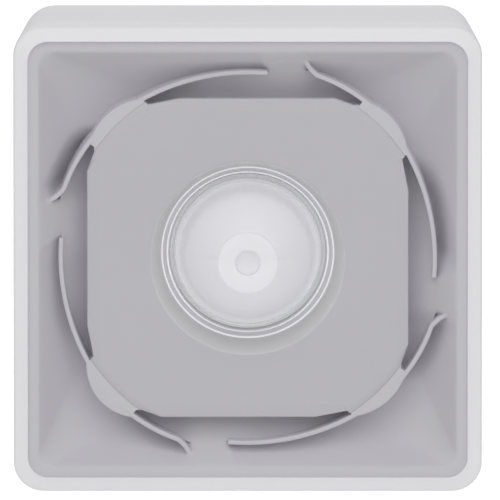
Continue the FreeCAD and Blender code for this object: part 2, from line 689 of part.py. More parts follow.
main()
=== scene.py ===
# %% [markdown]
# # A wall motion sensor with a sounder horn
# The unit is a square white head that plugs onto a wall plate. Its front is a flared square recess, the
# horn of a built-in sounder. In the horn stands a centre plate with a domed lens, and thin curved vanes
# round the plate lead the sound from four slots to the outside. The design model gives every piece its
# place and size. Here the big moulded pieces are built again with soft edges and smooth flares, and
# every piece gets a finish.

# %% Load the frame
import math

import bpy
import bmesh
import numpy as np
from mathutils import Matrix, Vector


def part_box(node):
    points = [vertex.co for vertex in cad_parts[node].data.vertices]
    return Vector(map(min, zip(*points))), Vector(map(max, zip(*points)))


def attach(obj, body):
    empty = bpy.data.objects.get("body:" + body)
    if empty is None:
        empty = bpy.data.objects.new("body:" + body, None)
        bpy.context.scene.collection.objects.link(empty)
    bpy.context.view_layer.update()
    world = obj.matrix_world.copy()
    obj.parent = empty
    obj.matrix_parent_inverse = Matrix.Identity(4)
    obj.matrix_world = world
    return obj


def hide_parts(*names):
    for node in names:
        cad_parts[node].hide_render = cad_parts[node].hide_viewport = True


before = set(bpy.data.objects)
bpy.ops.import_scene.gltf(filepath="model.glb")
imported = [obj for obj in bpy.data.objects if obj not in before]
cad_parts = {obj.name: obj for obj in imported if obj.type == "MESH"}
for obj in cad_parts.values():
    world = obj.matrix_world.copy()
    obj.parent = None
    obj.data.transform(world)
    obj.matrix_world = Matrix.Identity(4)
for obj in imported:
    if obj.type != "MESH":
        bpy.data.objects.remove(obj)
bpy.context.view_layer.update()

# %% [markdown]
# All shapes are drawn in millimetres as (x, z, f): x to the right, z up the wall and f the distance from
# the wall. The front of the unit looks along -Y, so f becomes -y. The driving depths are read from the
# frame's boxes, so a change of the design moves the looks with it.

# %% Places read from the frame
MM = 0.001


def node_box(node):
    """A node's lowest and highest x, z and f in millimetres."""
    low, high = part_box(node)
    return (low.x / MM, low.z / MM, -high.y / MM), (high.x / MM, high.z / MM, -low.y / MM)


housing_low, housing_high = node_box("outer_housing")
LEDGE = node_box("funnel_insert")[1][2]          # the flat ledge inside the rim
vanes_low, vanes_high = node_box("vane_ring")
plate_high = node_box("front_plate")[1]
dome_low, dome_high = node_box("lens_dome")

CREST = housing_high[2]          # the crest of the rim
HALF = housing_high[0]           # half the width of the housing
FLOOR = vanes_low[2]             # the floor of the chamber behind the plate
VANE_TOP = vanes_high[2]         # the top of the vanes and of the corner lobes
PLATE_TOP = plate_high[2]
PLATE_HALF = plate_high[0]
PLATE_UNDER = PLATE_TOP - 2.2
SEAT = dome_low[2] - 0.6         # where the lens seal lies
print(f"crest {CREST:.1f}, ledge {LEDGE:.1f}, plate {PLATE_TOP:.1f}")
print(f"vanes {VANE_TOP:.1f}, floor {FLOOR:.1f}")

# %% [markdown]
# A mould maker thinks in sections: the housing, the horn and the plate are each one closed outline,
# carried round the axis. In Blender that is a mesh of rings. Every ring has the same number of points,
# so neighbouring rings join with plain four-sided faces, and the surface stays smooth.
# A lathe would give round rings only, so each ring here is a rounded square whose corner radius may
# change.

# %% Rings
SIDE_STEPS, CORNER_STEPS, CORNER_SPAN = 150, 26, 4.5


def directions():
    """Angles round the axis, closer together where the corners are."""
    angles = []
    for quarter in range(4):
        middle = 90 * quarter
        angles += list(np.linspace(middle - 45 + CORNER_SPAN, middle + 45 - CORNER_SPAN, SIDE_STEPS,
                                   endpoint=False))
        angles += list(np.linspace(middle + 45 - CORNER_SPAN, middle + 45 + CORNER_SPAN, CORNER_STEPS,
                                   endpoint=False))
    return np.radians(np.array(angles))


TURN = directions()


def square_reach(half, corner, angles=TURN):
    """How far a rounded square reaches from its centre at each angle."""
    c, s = np.abs(np.cos(angles)), np.abs(np.sin(angles))
    c, s = np.maximum(c, s), np.minimum(c, s)
    flat = half / c
    q = half - corner
    along = q * (c + s)
    round_part = along + np.sqrt(np.maximum(along ** 2 - (2 * q * q - corner ** 2), 0))
    return np.where(flat * s <= q, flat, round_part)


def ring(reach, f, angles=TURN):
    """Points at a reach (one number or one per angle) and a distance from the wall."""
    reach = np.broadcast_to(reach, angles.shape)
    f = np.broadcast_to(f, angles.shape)
    return np.stack([reach * np.cos(angles), reach * np.sin(angles), f], axis=1)


print("points on a ring:", len(TURN))

# %% [markdown]
# One function turns rings into a mesh object: it joins them, closes the last one to the first, welds the
# points that meet on the axis, and marks only real corners as sharp, so gentle curves shade smoothly.

# %% From points to a clean mesh


def new_piece(name, mesh):
    piece = bpy.data.objects.new(name, mesh)
    bpy.context.scene.collection.objects.link(piece)
    return piece


def to_row(points):
    """From (x, z, f) in millimetres to the row frame in metres."""
    p = np.asarray(points, dtype=float) * MM
    return np.stack([p[:, 0], -p[:, 2], p[:, 1]], axis=1)


def finish_mesh(mesh, sharp_degrees=32):
    bm = bmesh.new()
    bm.from_mesh(mesh)
    bmesh.ops.remove_doubles(bm, verts=bm.verts, dist=2e-6)
    bmesh.ops.dissolve_degenerate(bm, edges=bm.edges, dist=1e-6)
    bmesh.ops.recalc_face_normals(bm, faces=bm.faces)
    for face in bm.faces:
        face.smooth = True
    bm.to_mesh(mesh)
    bm.free()
    mesh.set_sharp_from_angle(angle=math.radians(sharp_degrees))
    mesh.update()


print("mesh helpers ready")

# %% From rings to an object


def solid_of_rings(name, rings, sharp_degrees=32):
    """A closed solid: the rings follow one another and the last joins the first."""
    count, width = len(rings), len(rings[0])
    points = to_row(np.concatenate(rings))
    faces = []
    for i in range(count):
        a, b = i * width, ((i + 1) % count) * width
        for j in range(width):
            k = (j + 1) % width
            faces.append((a + j, a + k, b + k, b + j))
    mesh = bpy.data.meshes.new(name)
    mesh.from_pydata(points.tolist(), [], faces)
    finish_mesh(mesh, sharp_degrees)
    return new_piece(name, mesh)


def softened(corners, cut=0.2, steps=4):
    """A closed outline with each corner turned into a short curve."""
    corners = [np.array(p, dtype=float) for p in corners]
    points = []
    for i, here in enumerate(corners):
        before, after = corners[i - 1], corners[(i + 1) % len(corners)]
        if here[0] < 1e-6:
            points.append(here)
            continue
        back, ahead = before - here, after - here
        reach_back = min(cut, 0.45 * np.linalg.norm(back))
        reach_ahead = min(cut, 0.45 * np.linalg.norm(ahead))
        start = here + back / np.linalg.norm(back) * reach_back
        end = here + ahead / np.linalg.norm(ahead) * reach_ahead
        for t in np.linspace(0, 1, steps):
            points.append((1 - t) ** 2 * start + 2 * t * (1 - t) * here + t * t * end)
    return points


def lathe(name, outline, steps=160, centre=(0.0, 0.0), sharp_degrees=32):
    """A round piece from a closed outline of (radius, f) points."""
    angles = np.linspace(0, 2 * math.pi, steps, endpoint=False)
    rings = [ring(r, f, angles) + np.array([centre[0], centre[1], 0.0]) for r, f in outline]
    return solid_of_rings(name, rings, sharp_degrees)


print("rings and outlines ready")

# %% Joining and cutting


def joined(name, pieces):
    """Several closed pieces of one moulding as one object."""
    bm = bmesh.new()
    for piece in pieces:
        bm.from_mesh(piece.data)
        bpy.data.objects.remove(piece)
    mesh = bpy.data.meshes.new(name)
    bm.to_mesh(mesh)
    bm.free()
    return new_piece(name, mesh)


def cut_away(piece, cutters):
    """Cuts holes through a piece and drops the cutters."""
    for cutter in cutters:
        tool = piece.modifiers.new("hole", "BOOLEAN")
        tool.operation, tool.solver, tool.object = "DIFFERENCE", "EXACT", cutter
    bpy.context.view_layer.update()
    cut = bpy.data.meshes.new_from_object(piece.evaluated_get(bpy.context.evaluated_depsgraph_get()))
    piece.modifiers.clear()
    piece.data = cut
    for cutter in cutters:
        bpy.data.objects.remove(cutter)
    return piece


print("joining and cutting ready")

# %% [markdown]
# Each finished piece gets its finish and the body that it moves with, and the design node that it
# stands for is hidden. A piece may have a second finish on some of its faces.

# %% Giving a piece its finish and its place


def place(piece, material, node, body="head"):
    """Gives a piece its finish and its place in the assembly, and hides the design node that it stands
    for.
    """
    piece.data.materials.clear()
    piece.data.materials.append(material)
    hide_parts(node)
    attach(piece, body)
    print(f"{node}: {len(piece.data.polygons)} faces")
    return piece


def second_finish(piece, material, chosen):
    """Gives the faces whose middle, as (radius, f) in millimetres, is chosen a second material."""
    piece.data.materials.append(material)
    for face in piece.data.polygons:
        x, y, z = face.center
        if chosen(math.hypot(x, z) / MM, -y / MM):
            face.material_index = 1


print("pieces can be placed")

# %% [markdown]
# ## Moulded plastic
# The shell and the horn are moulded in pale ABS with a fine spark-eroded texture. A flat colour looks
# like paint, so three things vary: a fine bump for the texture, a slow change of gloss where the melt
# flowed, and a slight lift of colour on the edges, where handling polishes the texture away.

# %% A moulded plastic finish


def socket(shader, name, value):
    shader.inputs[name].default_value = value


def moulded(name, colour, roughness=0.42, grain=0.10, grain_size=0.35, edge_lift=0.05,
            specular=0.5, painted_glow=0.0):
    """Moulded plastic, grain_size in millimetres, with a painted glow: light given off with no lamp."""
    material = bpy.data.materials.new(name)
    material.use_nodes = True
    nodes, links = material.node_tree.nodes, material.node_tree.links
    shader = nodes["Principled BSDF"]
    socket(shader, "Specular IOR Level", specular)
    # Emission paints a glow in the plastic's own colour, with no lamp behind it.
    socket(shader, "Emission Color", (*colour, 1))
    socket(shader, "Emission Strength", painted_glow)
    where = nodes.new("ShaderNodeTexCoord")
    texture = nodes.new("ShaderNodeTexNoise")
    texture.inputs["Scale"].default_value = 1000 / grain_size
    texture.inputs["Detail"].default_value = 3
    links.new(where.outputs["Object"], texture.inputs["Vector"])
    bump = nodes.new("ShaderNodeBump")
    bump.inputs["Strength"].default_value = grain
    bump.inputs["Distance"].default_value = 0.0002
    links.new(texture.outputs["Fac"], bump.inputs["Height"])
    links.new(bump.outputs["Normal"], shader.inputs["Normal"])
    flow = nodes.new("ShaderNodeTexNoise")
    flow.inputs["Scale"].default_value = 28
    flow.inputs["Detail"].default_value = 4
    links.new(where.outputs["Object"], flow.inputs["Vector"])
    gloss = nodes.new("ShaderNodeMapRange")
    gloss.inputs["To Min"].default_value = roughness - 0.05
    gloss.inputs["To Max"].default_value = roughness + 0.07
    links.new(flow.outputs["Fac"], gloss.inputs["Value"])
    links.new(gloss.outputs["Result"], shader.inputs["Roughness"])
    tint = nodes.new("ShaderNodeMix")
    tint.data_type = "RGBA"
    tint.inputs["A"].default_value = (*[c * 0.985 for c in colour], 1)
    tint.inputs["B"].default_value = (*[min(1, c * 1.015) for c in colour], 1)
    links.new(flow.outputs["Fac"], tint.inputs["Factor"])
    shape = nodes.new("ShaderNodeNewGeometry")
    edge = nodes.new("ShaderNodeMapRange")
    edge.inputs["From Min"].default_value = 0.52
    edge.inputs["From Max"].default_value = 0.62
    edge.inputs["To Max"].default_value = edge_lift
    links.new(shape.outputs["Pointiness"], edge.inputs["Value"])
    worn = nodes.new("ShaderNodeMix")
    worn.data_type = "RGBA"
    worn.inputs["B"].default_value = (1, 1, 1, 1)
    links.new(edge.outputs["Result"], worn.inputs["Factor"])
    links.new(tint.outputs["Result"], worn.inputs["A"])
    links.new(worn.outputs["Result"], shader.inputs["Base Color"])
    return material


housing_plastic = moulded("housing_plastic", (0.90, 0.89, 0.92), roughness=0.45)
# The horn and the vane ring are a little lighter than the plate and get a faint painted glow; both lighten
# the shade in their deep recesses.
horn_plastic = moulded("horn_plastic", (0.605, 0.595, 0.63), roughness=0.48, painted_glow=0.02)
plate_plastic = moulded("plate_plastic", (0.57, 0.56, 0.595), roughness=0.46)
# The lens well is a lighter copy of the plate's plastic with a faint painted glow: painted light that
# lightens the shade in the recess.
well_painted_light = moulded("well_painted_light", (0.635, 0.635, 0.64), roughness=0.4, grain=0.03, painted_glow=0.04)
print("plastics ready")

# %% [markdown]
# ## The outer housing
# The shell is a tapered square tube. It has a shallow neck behind the rim, a bevelled rim that falls
# outwards, and a lip that the horn's flange tucks behind. One closed section, run round the axis as
# rings, gives the outside, the lip and the inside wall at once. A hole in the underside lets the locking
# screw in.

# %% Outer housing
BACK_HALF = HALF - 1.8
SHELL_FOOT = housing_low[2]
RIM_INNER = HALF - 3.0
RIM_FOOT = 49.4                  # where the neck ends and the rim begins
NECK = 0.32                      # how deep the neck is cut in
WALL = 2.2
SCREW_HOLE_R, SCREW_HOLE_F = 1.5, 5.0


def side_half(f):
    """Half the width of the tapered side at a distance from the wall."""
    return BACK_HALF + (HALF - BACK_HALF) * (f - SHELL_FOOT) / (CREST - 2.1 - SHELL_FOOT)


def outer_housing():
    section = [(SHELL_FOOT, BACK_HALF - 0.4, 6.4), (SHELL_FOOT + 0.12, BACK_HALF - 0.12, 6.6),
               (SHELL_FOOT + 0.4, BACK_HALF, 6.8)]
    section += [(f, side_half(f), 6.8 - 0.6 * f / CREST) for f in np.linspace(4, 42.4, 9)]
    neck = [(42.8, 0.06, 6.2), (43.3, 0.26, 6.1), (43.7, NECK, 6.1), (RIM_FOOT, NECK, 6.1),
            (RIM_FOOT + 0.5, 0.27, 6.1)]
    section += [(f, side_half(f) - depth, corner) for f, depth, corner in neck]
    section += [(50.4, HALF - 0.10, 6.3), (50.9, HALF, 6.4), (52.0, HALF, 6.4), (52.5, HALF - 0.06, 6.4),
                (52.85, HALF - 0.2, 6.3), (53.05, HALF - 0.42, 6.2), (53.15, HALF - 0.7, 6.0)]
    section += [(53.5, HALF - 1.8, 5.3), (53.86, RIM_INNER + 0.32, 4.7), (53.96, RIM_INNER + 0.16, 4.6),
                (CREST, RIM_INNER + 0.02, 4.5), (53.93, RIM_INNER - 0.08, 4.4),
                (53.8, RIM_INNER - 0.12, 4.35), (LEDGE + 0.02, RIM_INNER - 0.12, 4.35),
                (LEDGE + 0.02, RIM_INNER + 0.75, 4.4)]
    section += [(f, side_half(f) - WALL, 3.8) for f in np.linspace(50, SHELL_FOOT + 0.3, 6)]
    section += [(SHELL_FOOT, BACK_HALF - WALL + 0.3, 3.8)]
    rings = [ring(square_reach(half, corner), f) for f, half, corner in section]
    shell = solid_of_rings("outer_housing_shell", rings, 40)
    hole = lathe("hole", [(0, -4), (SCREW_HOLE_R, -4), (SCREW_HOLE_R, 4), (0, 4)], 48)
    hole.location = (0, -SCREW_HOLE_F * MM, -BACK_HALF * MM)
    bpy.context.view_layer.update()
    return cut_away(shell, [hole])


place(outer_housing(), housing_plastic, "outer_housing")

# %% [markdown]
# ## The horn
# The horn is a dish: it falls away from the square mouth, first steeply and then gently, and its corners
# open into soft pockets. Inside the vanes the floor drops into four slots, and between the vane tips it
# runs straight out, so the sound leaves there. Webs tie the hooked vane tips to the wall. Outside the
# vanes of three sides the floor is hollowed out a little further. Plain solids can't blend like that. So
# the horn is a height surface: every ring point gets the height of the dish, then the slots and the
# hollows lower it and the webs lift it, all with soft steps.

# %% The dish
MOUTH_HALF = HALF - 5.4
MOUTH_CORNER = 3.2
DISH = (11.5, 5.6, 1.2)          # full depth, reach and power of the dish's curve
RAMP = (9.6, 6.0, 1.25)          # the same for the gentler ramps between the vanes
SKIRT_HALF = PLATE_HALF - 2.0
INNER_INSET = MOUTH_HALF - SKIRT_HALF


def step_up(x, low, high):
    """Goes smoothly from 0 at low to 1 at high."""
    t = np.clip((x - low) / (high - low), 0, 1)
    return t * t * (3 - 2 * t)


def soft_max(a, b, blend):
    h = np.clip(0.5 + 0.5 * (b - a) / blend, 0, 1)
    return a * (1 - h) + b * h + blend * h * (1 - h)


def from_segment(u, v, start, end):
    """Distance of each point from a straight line between two points."""
    ax, ay = end[0] - start[0], end[1] - start[1]
    t = np.clip(((u - start[0]) * ax + (v - start[1]) * ay) / (ax * ax + ay * ay), 0, 1)
    return np.hypot(u - start[0] - t * ax, v - start[1] - t * ay)


def falling(inset, curve):
    """The height of a falling curve at a distance inwards from the mouth's edge."""
    depth, reach, power = curve
    return LEDGE - 0.3 - depth * (1 - np.exp(-(np.maximum(inset, 0) / reach) ** power))


print(f"mouth {2 * MOUTH_HALF:.1f} mm wide, dish {LEDGE - falling(INNER_INSET, DISH):.1f} mm deep")

# %% [markdown]
# The vanes are the same on all four sides, so one side is described, with u along the side and v outwards.
# Three points give each vane's arc. The slots, the webs and the hollows then follow from the same points.

# %% Slots and webs of one side
HOOK = [(15.1, 39.05), (13.5, 40.5), (12.4, 42.3)]
LONG_VANE = [(-23.2, 33.7), (-9.2, 38.95), (4.2, 39.75)]
SHORT_VANE = [(26.3, 32.6), (20.5, 36.65), (14.7, 39.25)]
LONG_RADIUS, SHORT_RADIUS = math.hypot(*LONG_VANE[1]), math.hypot(*SHORT_VANE[1])


def inner_share(u, v):
    """1 over the side's slots and the gap between its vane tips, 0 outside the vanes."""
    reach = np.hypot(u, v)
    slot = np.where(u < LONG_VANE[2][0], reach < LONG_RADIUS, reach < SHORT_RADIUS)
    beside_long = u - LONG_VANE[2][0] + 0.54 * (v - LONG_VANE[2][1])
    gap = step_up(beside_long, -0.9, 0.9) * step_up(HOOK[2][0] - u, -0.4, 0.4)
    return np.where(v > 30, np.maximum(slot, gap * (v > LONG_VANE[2][1])), 0.0)


def slot_height(u, v):
    """The floor of the slots and the gap: a ramp with deeper ends."""
    ends = step_up(-u, -2.5, 4.0) + step_up(u, 10.5, 15.5)
    return falling(MOUTH_HALF - v, RAMP) - ends * (0.7 + 0.7 * step_up(np.abs(u), 10, 21))


def web_height(u, v):
    """The web that carries the hooked tip of the short vane out to the wall."""
    away = from_segment(u, v, HOOK[2], (11.5, MOUTH_HALF + 1.0))
    width = 0.45 + 1.1 * step_up(v, 42.6, MOUTH_HALF + 0.3) ** 2
    return VANE_TOP + 1.2 * step_up(v, 42.5, MOUTH_HALF) - 14 * step_up(away - width, 0.0, 1.6)


print(f"long vanes at radius {LONG_RADIUS:.1f} mm, short vanes at {SHORT_RADIUS:.1f} mm")

# %% Hollows, and all four sides together
SHORT_HOLLOWS = [0.0, 5.0, 1.2, 2.0]     # depths on the top, left, lower and right side
LONG_HOLLOWS = [0.0, 0.8, 0.3, 3.6]


def short_hollow(u, v):
    """1 in the hollow just outside the short vane, 0 away from it."""
    away = from_segment(u, v, SHORT_VANE[2], SHORT_VANE[0])
    along = step_up(u, 11, 16) * (1 - step_up(u, 22, 28))
    return np.where(np.hypot(u, v) > SHORT_RADIUS, (1 - step_up(away, 0.6, 5.0)) * along, 0.0)


def long_hollow(u, v):
    """The same for the hollow just outside the long vane."""
    beyond = np.hypot(u, v) - LONG_RADIUS
    along = step_up(u, -22, -12) * (1 - step_up(u, -2, 3))
    return np.where(beyond > 0, (1 - step_up(beyond, 0.8, 4.8)) * along, 0.0)


def worked(points):
    """The points with the slots, hollows and webs of all four sides worked in."""
    x, z, f = points[:, 0], points[:, 1], points[:, 2].copy()
    for quarter in range(4):
        c, s = math.cos(-math.pi / 2 * quarter), math.sin(-math.pi / 2 * quarter)
        u, v = c * x - s * z, s * x + c * z
        on_side = v > np.abs(u)
        share = np.where(on_side, inner_share(u, v), 0.0)
        f = f * (1 - share) + slot_height(u, v) * share
        beside_short = short_hollow(u, v) * SHORT_HOLLOWS[quarter]
        beside_long = long_hollow(u, v) * LONG_HOLLOWS[quarter]
        f = f - np.where(on_side, beside_short + beside_long, 0.0)
        f = np.where(v > 34, soft_max(f, web_height(u, v), 0.8), f)
    return np.stack([x, z, f], axis=1)


print("deepest hollows:", max(SHORT_HOLLOWS), "and", max(LONG_HOLLOWS), "mm")

# %% Horn
PORT_HALF = 13.0                 # half the length of a sound port
POST_PLACE, POST_R = 39.5, 3.2   # posts for the rear cover's screws, in the corners
POST_FOOT, POST_TOP = 17.5, 40.5
STANDOFF_PLACE, STANDOFF_R = 20.0, 2.4   # the sensor board stands on these
STANDOFF_FOOT, STANDOFF_TOP = 32.9, 35.6


def horn():
    flange = [(LEDGE - 2.0, RIM_INNER + 0.55, 4.8), (LEDGE - 0.1, RIM_INNER + 0.55, 4.8),
              (LEDGE, RIM_INNER + 0.4, 4.7), (LEDGE, RIM_INNER - 0.2, 4.35),
              (LEDGE - 0.02, RIM_INNER - 0.9, 4.1), (LEDGE - 0.06, MOUTH_HALF + 0.8, 3.7),
              (LEDGE - 0.13, MOUTH_HALF + 0.45, 3.5), (LEDGE - 0.22, MOUTH_HALF + 0.15, 3.3)]
    rings = [ring(square_reach(half, corner), f) for f, half, corner in flange]
    for inset in INNER_INSET * np.linspace(0, 1, 62):
        reach = square_reach(MOUTH_HALF - inset, MOUTH_CORNER + inset)
        rings.append(worked(ring(reach, falling(inset, DISH))))
    wall_foot = square_reach(SKIRT_HALF, MOUTH_CORNER + INNER_INSET)
    rings += [ring(wall_foot - 0.02, FLOOR), ring(0.0, FLOOR), ring(0.0, FLOOR - 2)]
    back = [(FLOOR - 2, MOUTH_HALF - 0.8, 34.8), (LEDGE - 12, MOUTH_HALF - 0.3, 20.8),
            (LEDGE - 6, MOUTH_HALF + 0.3, 10.8), (LEDGE - 2.4, MOUTH_HALF + 1.6, 5.5)]
    rings += [ring(square_reach(half, corner), f) for f, half, corner in back]
    return solid_of_rings("horn_body", rings, 50)


def sound_port(quarter):
    """A cutter for the long hole under the plate's edge, through which the sound comes up."""
    angles = np.linspace(0, 2 * math.pi, 40, endpoint=False)
    along = PORT_HALF * np.sign(np.cos(angles)) + 0.45 * np.cos(angles)
    out = SKIRT_HALF + 0.55 + 0.45 * np.sin(angles)
    c, s = math.cos(math.pi / 2 * quarter), math.sin(math.pi / 2 * quarter)
    plan = np.stack([c * along - s * out, s * along + c * out], axis=1)
    middle = plan * 0 + plan.mean(axis=0)
    low, high = FLOOR - 3, LEDGE - 4
    rings = [np.column_stack([shape, np.full(len(plan), f)])
             for shape, f in ((middle, low), (plan, low), (plan, high), (middle, high))]
    return solid_of_rings("port", rings)


def peg(name, radius, foot, top, steps, centre):
    """A plain round peg with softened edges."""
    outline = softened([(0, foot), (radius, foot), (radius, top), (0, top)])
    return lathe(name, outline, steps, centre)


def horn_posts():
    posts = []
    for sx in (-1, 1):
        for sz in (-1, 1):
            posts.append(peg("post", POST_R, POST_FOOT, POST_TOP, 40,
                             (sx * POST_PLACE, sz * POST_PLACE)))
            posts.append(peg("standoff", STANDOFF_R, STANDOFF_FOOT, STANDOFF_TOP, 32,
                             (sx * STANDOFF_PLACE, sz * STANDOFF_PLACE)))
    return posts


horn_body = cut_away(horn(), [sound_port(q) for q in range(4)])
horn_piece = joined("horn", [horn_body] + horn_posts())
finish_mesh(horn_piece.data, 50)
place(horn_piece, horn_plastic, "funnel_insert")

# %% [markdown]
# ## The centre plate
# The plate is a rounded square whose sides are trimmed back where the slots run out, each end with a
# small round. It slopes a little towards its edges, steps down to the corner lobes on a circle, and has a
# conical well for the lens. Its outline is written once as lines and arcs and turned for the four sides.
# Only the lobes differ: the lower left one reaches further out than the others.

# %% Outline of the plate
PLATE_CORNER = 13.2
PLATE_DISC = 40.0                        # the radius at which the plate ends and the lobes begin
LOBE_GROWTH = [1.0, 1.0, 1.36, 1.0]      # upper right, upper left, lower left and lower right


def arc(centre, radius, start, end, steps):
    angles = np.radians(np.linspace(start, end, steps))
    return [(centre[0] + radius * math.cos(a), centre[1] + radius * math.sin(a)) for a in angles]


def line(start, end, steps):
    return [(start[0] + (end[0] - start[0]) * t, start[1] + (end[1] - start[1]) * t)
            for t in np.linspace(0, 1, steps, endpoint=False)]


def plate_outline():
    """The trimmed plate's reach at rising angles, one side after another."""
    q = PLATE_HALF - PLATE_CORNER
    right_end, left_end = (23.75, 33.4), (-21.1, 33.65)
    top = arc((q, q), PLATE_CORNER, 6, 74.4, 40)
    top += arc(right_end, 0.65, -10, -115, 12)
    top += line((18.6, PLATE_HALF), (-14.5, PLATE_HALF), 70)
    top += line((-14.5, PLATE_HALF), (-20.6, 33.1), 16)
    top += arc(left_end, 0.6, -80, -160, 10)
    points = np.array(top)
    side_turn = np.arctan2(points[:, 1], points[:, 0])
    all_turns = [side_turn + math.pi / 2 * quarter for quarter in range(4)]
    turn = np.maximum.accumulate(np.concatenate(all_turns))
    turn += np.linspace(0, 4e-4, len(turn))
    reach = np.hypot(points[:, 0], points[:, 1])
    grown = [np.where(reach > PLATE_DISC, PLATE_DISC + (reach - PLATE_DISC) * growth, reach)
             for growth in LOBE_GROWTH]
    return turn, np.concatenate(grown)


OUTLINE_TURN, OUTLINE_REACH = plate_outline()
print("plate outline:", len(OUTLINE_TURN), "points, smallest turn",
      f"{np.degrees(np.diff(OUTLINE_TURN).min()):.5f} degrees")

# %% Front plate


def around(reach, f):
    return ring(reach, f, OUTLINE_TURN)


LENS_WELL_R, WELL_MOUTH_R = 18.5, 21.3   # the seat of the lens, and the top of the conical well
BOSS_PLACE, BOSS_R, BOSS_BORE = 26.5, 3.0, 1.2


def plate_boss(sx, sz):
    """A hollow boss under the plate for one of its screws."""
    outline = softened([(BOSS_BORE, FLOOR), (BOSS_R, FLOOR), (BOSS_R, PLATE_UNDER + 0.4),
                        (BOSS_BORE, PLATE_UNDER + 0.4)])
    return lathe("boss", outline, 40, (sx * BOSS_PLACE, sz * BOSS_PLACE))


def front_plate():
    disc = np.minimum(OUTLINE_REACH, PLATE_DISC + 0.04)
    lobe = step_up(OUTLINE_REACH, PLATE_DISC - 0.2, PLATE_DISC + 0.4)
    inner = square_reach(PLATE_HALF - 2.6, PLATE_CORNER - 2.2, OUTLINE_TURN)
    crown = np.minimum(inner, disc - 1.7)
    drop = 0.32
    rings = [around(WELL_MOUTH_R, PLATE_TOP), around(21.9, PLATE_TOP), around(crown - 0.9, PLATE_TOP),
             around(crown - 0.3, PLATE_TOP), around(crown + 0.1, PLATE_TOP - 0.02)]
    rings += [around(disc - 0.35 - lobe * 0.95, PLATE_TOP - drop * (1 - lobe) - 0.03 * lobe),
              around(disc - 0.15 - lobe * 0.75, PLATE_TOP - drop * (1 - lobe) - 0.05 - 0.07 * lobe),
              around(disc - 0.03 - lobe * 0.02, PLATE_TOP - drop - 0.22 - lobe * 0.06),
              around(disc, PLATE_TOP - drop - 0.5), around(disc, PLATE_UNDER), around(22.3, PLATE_UNDER)]
    well = [(20.1, SEAT - 1), (16.3, SEAT - 1), (16.2, SEAT - 0.9), (16.2, SEAT - 0.1), (16.3, SEAT),
            (LENS_WELL_R, SEAT), (LENS_WELL_R, SEAT + 2.6), (18.55, SEAT + 2.8), (20.45, PLATE_TOP - 0.75),
            (20.62, PLATE_TOP - 0.4), (20.85, PLATE_TOP - 0.12), (21.1, PLATE_TOP - 0.02)]
    rings += [around(radius, f) for radius, f in well]
    plate = solid_of_rings("plate_sheet", rings, 40)
    bosses = [plate_boss(sx, sz) for sx in (-1, 1) for sz in (-1, 1)]
    return joined("centre_plate", [plate] + bosses)


centre_plate = place(front_plate(), plate_plastic, "front_plate")
# The well's faces get the lighter copy with its painted glow, painted light in the recess.
second_finish(centre_plate, well_painted_light, lambda r, f: r < 20.9 and f < PLATE_TOP - 0.15)

# %% [markdown]
# ## The vane ring
# Each vane is a thin upright wall, about a millimetre thick, with a slight draft so that it leaves the
# mould, and a rounded top edge that catches the light. A section swept along an arc gives all three. The
# square skirt below the plate and the corner lobes carry the vanes at their roots.

# %% A thin wall along an arc
VANE_FOOT = FLOOR + 4.5          # below the lowest place in the slots


def through(start, middle, end, steps):
    """Points on the arc through three points."""
    start, middle, end = np.array(start), np.array(middle), np.array(end)
    spans = np.array([middle - start, end - start])
    squares = np.array([middle @ middle - start @ start, end @ end - start @ start])
    centre = np.linalg.solve(2 * spans, squares)
    first, last = start - centre, end - centre
    turn = math.atan2(first[1], first[0])
    sweep = (math.atan2(last[1], last[0]) - turn + math.pi) % (2 * math.pi) - math.pi
    angles = turn + sweep * np.linspace(0, 1, steps)
    return centre + np.hypot(*first) * np.stack([np.cos(angles), np.sin(angles)], axis=1)


def upright_wall(name, path, foot, top, quarter, thick=1.0, draft=0.25):
    """A thin wall along a path, rounded on top and a little thicker at its foot."""
    along = np.gradient(path, axis=0)
    along /= np.linalg.norm(along, axis=1)[:, None]
    side = np.stack([along[:, 1], -along[:, 0]], axis=1)
    bead = thick / 2
    half = [(bead + draft, foot), (bead, top - 0.35), (0.85 * bead, top - 0.12), (0.5 * bead, top - 0.02)]
    section = half + [(0.0, top)] + [(-offset, f) for offset, f in reversed(half)]
    c, s = math.cos(math.pi / 2 * quarter), math.sin(math.pi / 2 * quarter)
    slices = []
    for point, normal in zip(path, side):
        plan = np.array([point + normal * offset for offset, _ in section])
        turned = np.stack([c * plan[:, 0] - s * plan[:, 1], s * plan[:, 0] + c * plan[:, 1]], axis=1)
        slices.append(np.column_stack([turned, [f for _, f in section]]))
    middle_first, middle_last = slices[0].mean(axis=0), slices[-1].mean(axis=0)
    slices = [np.repeat(middle_first[None], len(section), axis=0)] + slices
    slices += [np.repeat(middle_last[None], len(section), axis=0)]
    count, width = len(slices), len(section)
    points = to_row(np.concatenate(slices))
    faces = []
    for i in range(count - 1):
        a, b = i * width, (i + 1) * width
        faces += [(a + j, a + (j + 1) % width, b + (j + 1) % width, b + j) for j in range(width)]
    mesh = bpy.data.meshes.new(name)
    mesh.from_pydata(points.tolist(), [], faces)
    finish_mesh(mesh, 40)
    return new_piece(name, mesh)


print("arcs and walls ready")

# %% Vanes and skirt


def vanes():
    long_path = through(*LONG_VANE, 60)
    short_path = np.concatenate([through(*SHORT_VANE, 30)[:-1], through(*HOOK, 14)])
    walls = []
    for quarter in range(4):
        walls.append(upright_wall("long_vane", long_path, VANE_FOOT, VANE_TOP, quarter))
        walls.append(upright_wall("short_vane", short_path, VANE_FOOT, VANE_TOP, quarter))
    return walls


